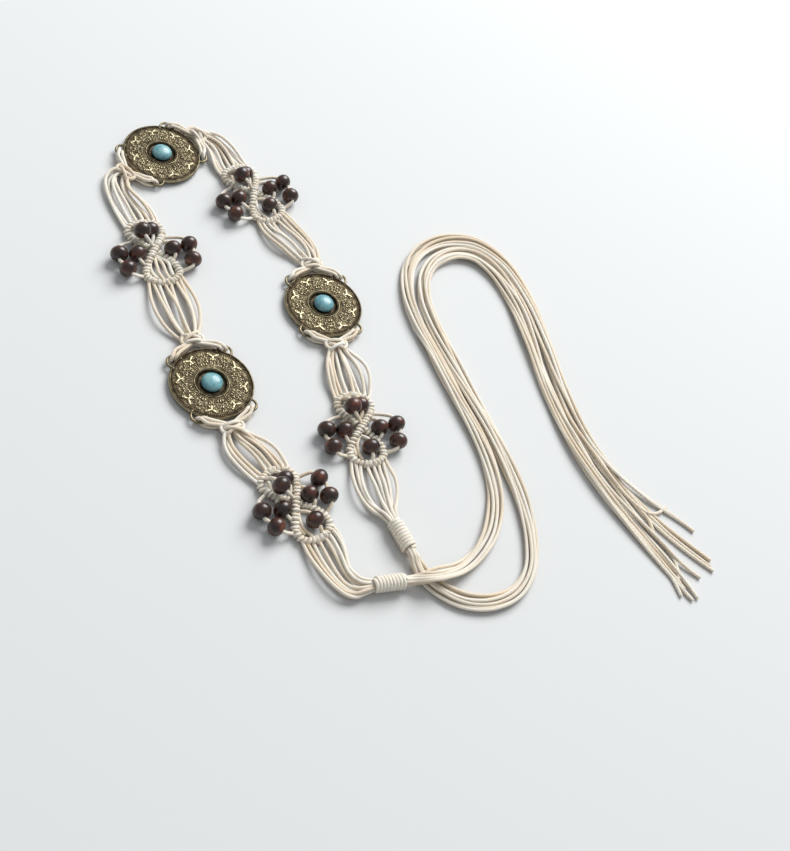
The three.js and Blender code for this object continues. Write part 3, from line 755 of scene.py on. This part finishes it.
turquoise, tree, surface = new_material("polished_turquoise")
spot = add(tree, "ShaderNodeTexCoord").outputs["Object"]
clouds = {"Vector": spot, "Scale": 1 / (cloud_width * MM), "Detail": 5.0, "Roughness": 0.6}
clouds = add(tree, NOISE, clouds)
blues = [(0.3, "#59909B"), (0.45, "#669DA8"), (0.6, "#83B4BB"), (0.75, "#8CAE9E")]
colour = add(tree, RAMP, {"Fac": clouds}, blues)
veins = {"Vector": spot, "Scale": 1 / (vein_spacing * MM), "Detail": 6.0, "Distortion": 1.2}
vein = add(tree, MATH, {0: add(tree, NOISE, veins), 1: 0.5}, operation="SUBTRACT")
vein = add(tree, MATH, {0: vein}, operation="ABSOLUTE")
vein = add(tree, RANGE, {"Value": vein, "From Max": 0.015, "To Min": 0.55, "To Max": 0.0})
colour = add(tree, MIX, {"Factor": vein, 6: colour, 7: linear("#1F4F57")}, data_type="RGBA").outputs[2]
feed(surface, {
    "Base Color": colour, "Roughness": 0.3, "IOR": 1.61, "Subsurface Weight": 0.15,
    "Subsurface Radius": (1.0, 1.0, 1.0), "Subsurface Scale": 0.6 * MM,
})

# %% Stones
stone_radius, stone_height, girdle_height = 5.85, 4.2, 0.9
stone_up = disc_up + 0.7 * disc_edge + gap
dome = np.linspace(0, math.pi / 2, 20)[:-1]
rise = girdle_height + (stone_height - girdle_height) * np.sin(dome) ** 0.95
outline = [(stone_radius * 0.6, 0), (stone_radius * 0.97, 0), (stone_radius, 0.35)]
stone = revolve([*outline, *zip(stone_radius * np.cos(dome), rise)], 64)
for number, place in enumerate(disc_places, 1):
    domed = [placed(stone, place, stone_up)]
    make_piece(f"turquoise_stone_{number}", domed, turquoise, "turquoise", f"stone_{number}")

# %% [markdown]
# The beads are turned from a dark hardwood, drilled through and varnished. Their grain runs
# along the hole, with broad redder patches laid at random by noise as a painted glow of light in
# the wood, and no two are cut from the same place: each bead carries its own spot in the grain as
# a value on its points.

# %% Varnished wood
varnished, tree, surface = new_material("varnished_dark_hardwood")
grain = add(tree, ATTRIBUTE, attribute_name="grain").outputs["Vector"]
stretched = add(tree, "ShaderNodeVectorMath", {0: grain, 1: (1.0, 1.0, 0.16)}, operation="MULTIPLY")
fibre = add(tree, NOISE, {"Vector": stretched, "Scale": 1.6, "Detail": 5.0, "Roughness": 0.65})
# Painted glow: broad patches, laid at random by noise, turn the wood redder, as light shining into it would.
painted_glow = add(tree, NOISE, {"Vector": grain, "Scale": 0.16, "Detail": 1.0})
mixed = add(tree, MATH, {0: painted_glow, 1: 1.1, 2: -0.3}, operation="MULTIPLY_ADD")
mixed = add(tree, MATH, {0: fibre, 1: 0.55, 2: mixed}, operation="MULTIPLY_ADD")
browns_and_painted_glow = [(0.3, "#22150F"), (0.52, "#341E14"), (0.7, "#4E271A"), (0.88, "#834024")]
feed(surface, {
    "Base Color": add(tree, RAMP, {"Fac": mixed}, browns_and_painted_glow),
    "Normal": add(tree, BUMP, {"Strength": 0.35, "Distance": 0.08 * MM, "Height": fibre}),
    "Roughness": 0.35, "IOR": 1.5, "Coat Weight": 0.3, "Coat Roughness": 0.06,
})

# %% Bead form
half = bead_length / 2
swell = 4.45  # half length of the ellipse that the bead's outside follows, cut off at its ends
along = np.linspace(-half, half, 19)
outside = [(bead_radius * math.sqrt(1 - (x / swell) ** 2), x) for x in along]
outside = [(bead_hole + 0.12, -half - 0.02), *outside, (bead_hole + 0.12, half + 0.02)]
bore = [(bead_hole, x) for x in (half - 0.15, 0, 0.15 - half)]
bead_form = revolve([*outside, *bore], 32, closed=True)
print("bead faces:", len(bead_form["sizes"]))

# %% [markdown]
# A rosette is drawn by two rows of hitches that cross in its middle, like an 8. Points on them
# are found by the end of the rosette, the side, and the share of the way from that end's tip to
# the crossing. The beads sit on strands that start and stop in these rows. Those at a rosette's
# two sides have slipped along it and outwards, each side by its own share of a bead's pitch.

# %% Rosette plan
def ridge_point(place, end, side, share, up):
    angle = math.pi * share / 2
    across = side * loop_half_width * np.sin(2 * angle)
    return at(place, end * rosette_half_length * np.cos(angle), across, up)


def ridge_line(place, side):
    marks = np.linspace(0, 2, 49)
    end = np.where(marks <= 1, 1, -1)
    up = ridge_up + crossing_rise * np.maximum(0, 1 - (3 * (marks - 1)) ** 2) * (side < 0)
    pulled = 2.2 * np.exp(-(((marks - 1.15) / 0.4) ** 2)) * (side > 0)
    line = ridge_point(place, end, side * end, np.minimum(marks, 2 - marks), up)
    return evenly(line + at(pointing(place["facing"]), pulled, 0, 0), 0.8)


side_middle = ridge_width / 2 + bead_radius + 0.2 * loop_half_width
upper, lower = 0.62 * rosette_half_length, -0.6 * rosette_half_length
# start and stop as end, side and share; the middle; the side it is on and how far it follows that
# side's slip; beads along, across and up in pitches, and turned
strands = [((1, s, 0.72), (-1, s, 0.72), (0, s * side_middle), (s, 0.3), [(0, 0, 0, 0)]) for s in (1, -1)]
for s in (1, -1):
    pair = [(0.42, 0.985 * s, 0.03, -15 * s), (-0.63, 0.84 * s, 0, 20 * s)]
    strands.append(((1, s, 0.6), (-1, s, 0.5), (0, s * side_middle), (s, 1), pair))
strands += [
    ((1, -1, 0.04), (1, 1, 0.93), (upper, 0), (0, 0), [(0, -0.24, 0.02, 0)]),
    ((1, 1, 0.2), (1, -1, 0.93), (upper, 0), (0, 0), [(-0.42, 0.46, 0.62, 8)]),
    ((-1, -1, 0.06), (-1, 1, 0.93), (lower, 0), (0, 0), [(0, -0.2, 0.02, 180)]),
]


def carried_strands(place):
    """The rosette's strands. One rosette has no bead in its lower loop, and no strand for it."""
    return [strand for strand in strands if place["lower_bead"] or strand[0][0] > 0]


def bead_spots(place, strand):
    """The middle of each bead on a strand, and the way its hole points."""
    spots = []
    side, follow = strand[3]
    slip, out = place["slips"].get(side, (0, 0))
    for along, across, up, turn in strand[4]:
        along, across = along + slip * follow, across + out * side
        ahead, aside = (start + bead_pitch * way for start, way in zip(strand[2], (along, across)))
        middle = at(place, ahead, aside, low_bead + up * bead_pitch)
        spots.append((middle, at(pointing(place["facing"] + 180 + turn), 1, 0, 0)))
    return spots


def nearest_on_row(place, end, side, share, point):
    """The named place on a row, or for a strand at a rosette's side the nearest one to a point."""
    shares = [share] if share > 0.9 or share < 0.3 else np.linspace(0.3, 1, 29)
    spots = [ridge_point(place, end, side, each, ridge_up - 1.1) for each in shares]
    return min(spots, key=lambda spot: np.linalg.norm(spot[:2] - point[:2]))


def strand_line(place, strand):
    stations = []
    for middle, axis in bead_spots(place, strand):
        stations += [middle + axis * on for on in (-half - 0.5, 0, half + 0.5)]
    first = nearest_on_row(place, *strand[0], 1.15 * stations[0] - 0.15 * stations[1])
    last = nearest_on_row(place, *strand[1], 1.15 * stations[-1] - 0.15 * stations[-2])
    return smooth_path([first, *stations, last], 0.8)


# %% Beads
random = np.random.default_rng(5)
x, y, z = bead_form["points"].T[..., None]
for rosette_number, place in enumerate(rosette_places, 1):
    spots = [spot for strand in carried_strands(place) for spot in bead_spots(place, strand)]
    for bead_number, (middle, axis) in enumerate(spots, 1):
        grain = bead_form["points"] + random.uniform(-200, 200, 3)
        points = middle + z * axis + x * np.cross(UP, axis) + y * UP
        bead = {**bead_form, "points": points, "values": {"grain": grain}}
        number = f"{rosette_number}_{bead_number}"
        make_piece(f"wooden_bead_{number}", [bead], varnished, "wood", f"bead_{number}")
print("beads in the last rosette:", len(spots))

# %% [markdown]
# A hitch is one turn of cord pulled tight round another, and a rosette's rows are made of
# hundreds of them, side by side. A Geometry Nodes tree sets a ring of cord every 2.25 mm along
# each row, leaning a little, and no two lean quite alike.

# %% Rows of hitches
tree, group = new_tree("hitches_along_a_row", cotton, Pitch=2.25, Ring=1.38, Cord=1.08, Lean=20.0, Seed=3)
curve = add(tree, "GeometryNodeMeshToCurve", {"Mesh": group["Rail"]})
pitch = add(tree, MATH, {0: group["Pitch"], 1: MM}, operation="MULTIPLY")
marks = add(tree, "GeometryNodeResampleCurve", {"Curve": curve, "Length": pitch}, mode="LENGTH")
turned = add(tree, ALIGN, {"Vector": add(tree, "GeometryNodeInputTangent")}, axis="Z")
uneven = {"Min": (0.4, -0.32, -3.1), "Max": (1.5, 0.32, 3.1), "Seed": group["Seed"]}
uneven = add(tree, "ShaderNodeSeparateXYZ", {0: add(tree, RANDOM, uneven, data_type="FLOAT_VECTOR")})
lean = add(tree, MATH, {0: group["Lean"]}, operation="RADIANS")
lean = add(tree, MATH, {0: lean, 1: uneven.outputs["X"]}, operation="MULTIPLY")
lean = add(tree, "ShaderNodeCombineXYZ", {"X": lean, "Y": uneven.outputs["Y"]})
lean = add(tree, "FunctionNodeEulerToRotation", {0: lean})
turned = add(tree, ROTATE, {"Rotation": turned, "Rotate By": lean}, rotation_space="LOCAL")

rings, spots = [], []
along = add(tree, MATH, {0: add(tree, SPLINE).outputs["Length"], 1: 1 / MM}, operation="MULTIPLY")
around = add(tree, SPLINE).outputs["Factor"]
for label, resolution, name, value in (("Ring", 18, "along", along), ("Cord", 8, "around", around)):
    radius = add(tree, MATH, {0: group[label], 1: MM}, operation="MULTIPLY")
    ring = add(tree, "GeometryNodeCurvePrimitiveCircle", {"Resolution": resolution, "Radius": radius})
    rings.append(add(tree, STORE, {"Geometry": ring, "Name": name, "Value": value}))
    spots.append(add(tree, "GeometryNodeInputNamedAttribute", {"Name": name}))
ring = add(tree, "GeometryNodeCurveToMesh", {"Curve": rings[0], "Profile Curve": rings[1]})
uv = add(tree, "ShaderNodeCombineXYZ", {"X": spots[1], "Y": spots[0]})
uv = {"Geometry": ring, "Name": "UVMap", "Value": uv}
ring = add(tree, STORE, uv, data_type="FLOAT2", domain="CORNER")
sizes, tones = (
    add(tree, RANDOM, {2: low, 3: high, "Seed": group["Seed"]}).outputs[1]
    for low, high in ((0.93, 1.07), (0.25, 0.85))
)
toned = add(tree, STORE, {"Geometry": marks, "Name": "tone", "Value": tones})
hitches = add(tree, REPEAT, {"Points": toned, "Instance": ring, "Rotation": turned, "Scale": sizes})
end_tree(tree, group, hitches)
hitch_tree = tree

# %% [markdown]
# Between a rosette and the next disc or wrap the eight cords run free, side by side, and swell
# out like an onion. Each leaves its row of hitches at a place of its own and runs to its place
# in the gathering, where the cords lie in two layers. In between it arches up a little from the
# table, by an amount of its own.

# %% Open fans
root_share, handle_share = 0.41, 0.38
swell_scatter, shift_scatter, arch_heights = 2.4, 1.8, (0.2, 3.8)
ranks = [(2 * i) / (cords_in_belt - 1) - 1 for i in range(cords_in_belt)]


def fan_lines(place, end, gather, spread, gather_up, into, opening=1.0):
    """The eight cords from one end of a rosette to a gathering, and on into it by some way."""
    start = {"x": place["x"], "y": place["y"], "facing": place["facing"] + (180 if end < 0 else 0)}
    far = at(gather, 0, 0, 0) - at(start, rosette_half_length, 0, 0)
    handle = handle_share * np.linalg.norm(far)
    half_width = opening * (fan_width / 2 - cord_radius)
    arriving = list(ranks)
    for number in random.choice(cords_in_belt - 1, 2, replace=False):
        arriving[number], arriving[number + 1] = arriving[number + 1], arriving[number]
    lines = []
    for number, rank in enumerate(ranks):
        root = ridge_point(start, 1, np.sign(rank), root_share * abs(rank), 0)
        root_across = loop_half_width * math.sin(math.pi * root_share * rank)
        swell = (8 * half_width * rank - root_across - spread * rank) / 6
        swell = swell + random.uniform(-swell_scatter, swell_scatter)
        line = bezier([
            root,
            at(start, rosette_half_length + handle, swell, 0),
            at(gather, -handle, swell + random.uniform(-shift_scatter, shift_scatter), 0),
            at(gather, 0, spread * arriving[number], 0),
        ])
        t = np.linspace(0, 1, len(line))
        row = 1 if number % 2 else -1
        leave, arrive = 1 - ease(t / 0.35), ease((t - 0.55) / 0.45)
        arch = cord_radius + 0.15 + random.uniform(*arch_heights) * np.sin(math.pi * t)
        line[:, 2] = leave * ridge_up + arrive * (gather_up + row * 0.95) + (1 - leave - arrive) * arch
        line[:, 2] = np.maximum(line[:, 2], cord_radius + 0.1)
        tail = at(gather, into, 0.8 * spread * arriving[number], gather_up + 0.7 * row)
        lines.append(smooth_path([*line[::4], tail], 0.8))
    return lines


# %% [markdown]
# Outside each disc a square knot gathers the cords: the working cords lie across the others as
# one straight bar and a cross of two slanted ones, with a small loop at each side. From the knot
# two hairpins of cord run through each ear of the disc: over the ear's near leg, down through it
# and back underneath.

# %% Knots and yokes
def knot_lines(place, side):
    lines = []
    angle = np.linspace(-math.pi / 2, 1.5 * math.pi, 25)
    for along, slant, high in ((-1.6, 0.4, 2.7), (1.9, 2.0, 2.4), (2.1, -2.0, 3.3)):
        on = side * (knot_reach + along + slant * np.cos(angle))
        up = np.maximum(knot_up + 0.15 + high * np.sin(angle), cord_radius + 0.1)
        lines.append(smooth_path(at(place, on, 4.7 * np.cos(angle), up), 0.7))
    bow = np.linspace(0, math.pi, 7)
    for turn in (-1, 1):
        on, across = side * (knot_reach + 2.7 * np.cos(bow)), turn * (3.8 + 2.4 * np.sin(bow))
        lines.append(smooth_path(at(place, on, across, knot_up + 0.9), 0.7))
    return lines


def yoke_lines(place, side):
    lines = []
    leg = ear_radius + wire_radius + cord_radius
    for turn in (-1, 1):
        ear = {**place, "facing": place["facing"] + turn * ear_angle + (0 if side > 0 else 180)}
        for out, through, across in ((23.7, 2.1, 1.1), (26.2, -0.2, 3.5)):
            inner = min(out, 25.1)
            ends = [at(place, side * (knot_reach - on), side * turn * across, knot_up) for on in (0, 1.5)]
            outer, near = at(ear, out, -turn * leg, ear_up), at(ear, inner, -turn * (through + 1.2), ear_up)
            turning = at(ear, inner, -turn * (through - 0.3), ear_up)
            stations = [*[end + 0.9 * UP for end in ends], outer + 1.7 * UP, near + 1.75 * UP, turning]
            stations += [near - 1.75 * UP, outer - 1.7 * UP, *[end - 0.9 * UP for end in ends[::-1]]]
            lines.append(smooth_path(stations, 0.7))
    return lines


# %% [markdown]
# Inside a rosette's loops a few bare cords curve from row to row. The lower loops show them
# beside their bead, and the one lower loop without a bead is filled with four of them.

# %% Bare cords in the loops
# start along and across, bulge, stop along and across; the along ones in half lengths
beside_bead = [(-0.14, 0.8, 4.3, -0.86, 3.4), (-0.1, 1.6, 6.4, -0.74, 6.2)]
filling = [
    (-0.16, -0.6, -4.8, -0.8, -5.2), (-0.13, 0.0, -1.6, -0.92, -2.6),
    (-0.13, 0.6, 2.0, -0.93, 1.0), (-0.14, 1.4, 5.6, -0.82, 4.6),
]


def loop_lines(place):
    cords = []
    for start, start_side, bulge, stop, stop_side in beside_bead if place["lower_bead"] else filling:
        cords.append([
            (start, start_side, ridge_up + 0.4), (0.6 * start + 0.4 * stop, bulge, 3.4),
            (0.3 * start + 0.7 * stop, bulge * 1.05, 2.6), (stop, stop_side, ridge_up),
        ])
    cords += [[(0.14, s * 0.8, ridge_up), (0.5, s * 5.6, 2.0), (0.8, s * 4.6, ridge_up)] for s in (-1, 1)]
    length = rosette_half_length
    return [smooth_path([at(place, x * length, y, z) for x, y, z in cord], 0.8) for cord in cords]


# %% Lengths of knotwork
random = np.random.default_rng(8)
lengths = [
    (0, -1, {"wrap": 0}, {"disc": 0, "side": -1}),
    (1, -1, {"disc": 0, "side": 1}, {"disc": 1, "side": -1}),
    (2, 1, {"disc": 1, "side": 1, "opening": 0.85, "turn": -40}, {"disc": 2, "side": -1}),
    (3, 1, {"disc": 2, "side": 1}, {"wrap": 1}),
]


def held_lines(place, end, held):
    """A fan and what holds it: the knot and yokes at one side of a disc, or a wrap."""
    if "wrap" in held:
        wrap = wrap_places[held["wrap"]]
        mouth = wrap_length / 2 + 2 * cord_radius
        gather = {**wrap, **dict(zip("xy", at(wrap, -mouth, 0, 0)[:2]))}
        return fan_lines(place, end, gather, core_radius - cord_radius, core_up, 6)
    disc = disc_places[held["disc"]]
    facing = disc["facing"] + (180 if held["side"] > 0 else 0) + held.get("turn", 0)
    gather = dict(zip("xy", at(disc, held["side"] * knot_reach, 0, 0)[:2]), facing=facing)
    fans = fan_lines(place, end, gather, 0.78 * knot_half_width, knot_up, 1.2, held.get("opening", 1))
    return [*fans, *knot_lines(disc, held["side"]), *yoke_lines(disc, held["side"])]


for number, (rosette, start_end, start, stop) in enumerate(lengths, 1):
    place = rosette_places[rosette]
    rails = [ridge_line(place, side) for side in (1, -1)]
    lines = [
        *rails, *[strand_line(place, strand) for strand in carried_strands(place)], *loop_lines(place),
        *held_lines(place, start_end, start), *held_lines(place, -start_end, stop),
    ]
    tubes = [tube(line, tone=random.uniform(0.0, 1.0)) for line in lines]
    make_piece(f"knotted_cords_{number}", tubes, cotton, "cord", f"knotwork_{number}")
    rows = grown(hitch_tree, rails, Seed=number)
    make_piece(f"hitch_rows_{number}", [rows], cotton, "cord", f"knotwork_{number}")
    print("length", number, "cords:", len(lines), "hitch faces:", len(rows["sizes"]))

# %% [markdown]
# At both ends of the belt the eight cords are whipped: one more cord is wound tightly round
# them, turn beside turn, and both its ends are tucked under the outer turns.

# %% Wraps
turns, tuck_turns, tuck_depth = 9.25, 0.35, 1.3
t = np.linspace(0, 1, 320)
angle = 2 * math.pi * turns * t
tucked = 1 - ease(np.minimum(t, 1 - t) * turns / tuck_turns)
radius = wrap_radius - cord_radius - tuck_depth * tucked
on = (t - 0.5) * (wrap_length - 2 * cord_radius)
for letter, place in zip("ab", wrap_places):
    line = at(place, on, radius * np.cos(angle), core_up + radius * np.sin(angle))
    winding = tube(evenly(line, 0.7), tone=0.75)
    make_piece(f"whipped_wrap_{letter}", [winding], cotton, "cord", f"wrap_{letter}")

# %% [markdown]
# The belt lies on a plain pale table top in soft light. One large lamp stands to the upper right
# of the picture, which lets the shadows fall to the lower left, and the white room fills them.
# The plain Standard view keeps the cream of the cotton, which AgX would turn to white.

# %% Table top
paper, tree, surface = new_material("pale_table_top")
feed(surface, {"Base Color": linear("#D9DBDB"), "Roughness": 0.9})
table_mesh = bpy.data.meshes.new("table_top")
reach = 2.5
corners = [(-reach, -reach, 0), (reach, -reach, 0), (reach, reach, 0), (-reach, reach, 0)]
table_mesh.from_pydata(corners, [], [(0, 1, 2, 3)])
table_mesh.materials.append(paper)
new_object("table_top", table_mesh)

# %% Light
world = bpy.data.worlds.new("white_room")
bpy.context.scene.world = world
world.use_nodes = True
feed(world.node_tree.nodes["Background"], {"Color": linear("#F7F9FB"), "Strength": 0.43})
bpy.context.scene.view_settings.view_transform = "Standard"

lamp_data = bpy.data.lights.new("soft_lamp", "AREA")
lamp_data.shape = "DISK"
lamp_data.size = 2.5
lamp_data.energy = 163
lamp = new_object("soft_lamp", lamp_data)
lamp_azimuth, lamp_elevation, lamp_distance = math.radians(31), math.radians(41), 3.5
toward = Vector((
    math.cos(lamp_azimuth) * math.cos(lamp_elevation),
    math.sin(lamp_azimuth) * math.cos(lamp_elevation),
    math.sin(lamp_elevation),
))
lamp.location = toward * lamp_distance
lamp.rotation_mode = "QUATERNION"
lamp.rotation_quaternion = toward.to_track_quat("Z", "Y")
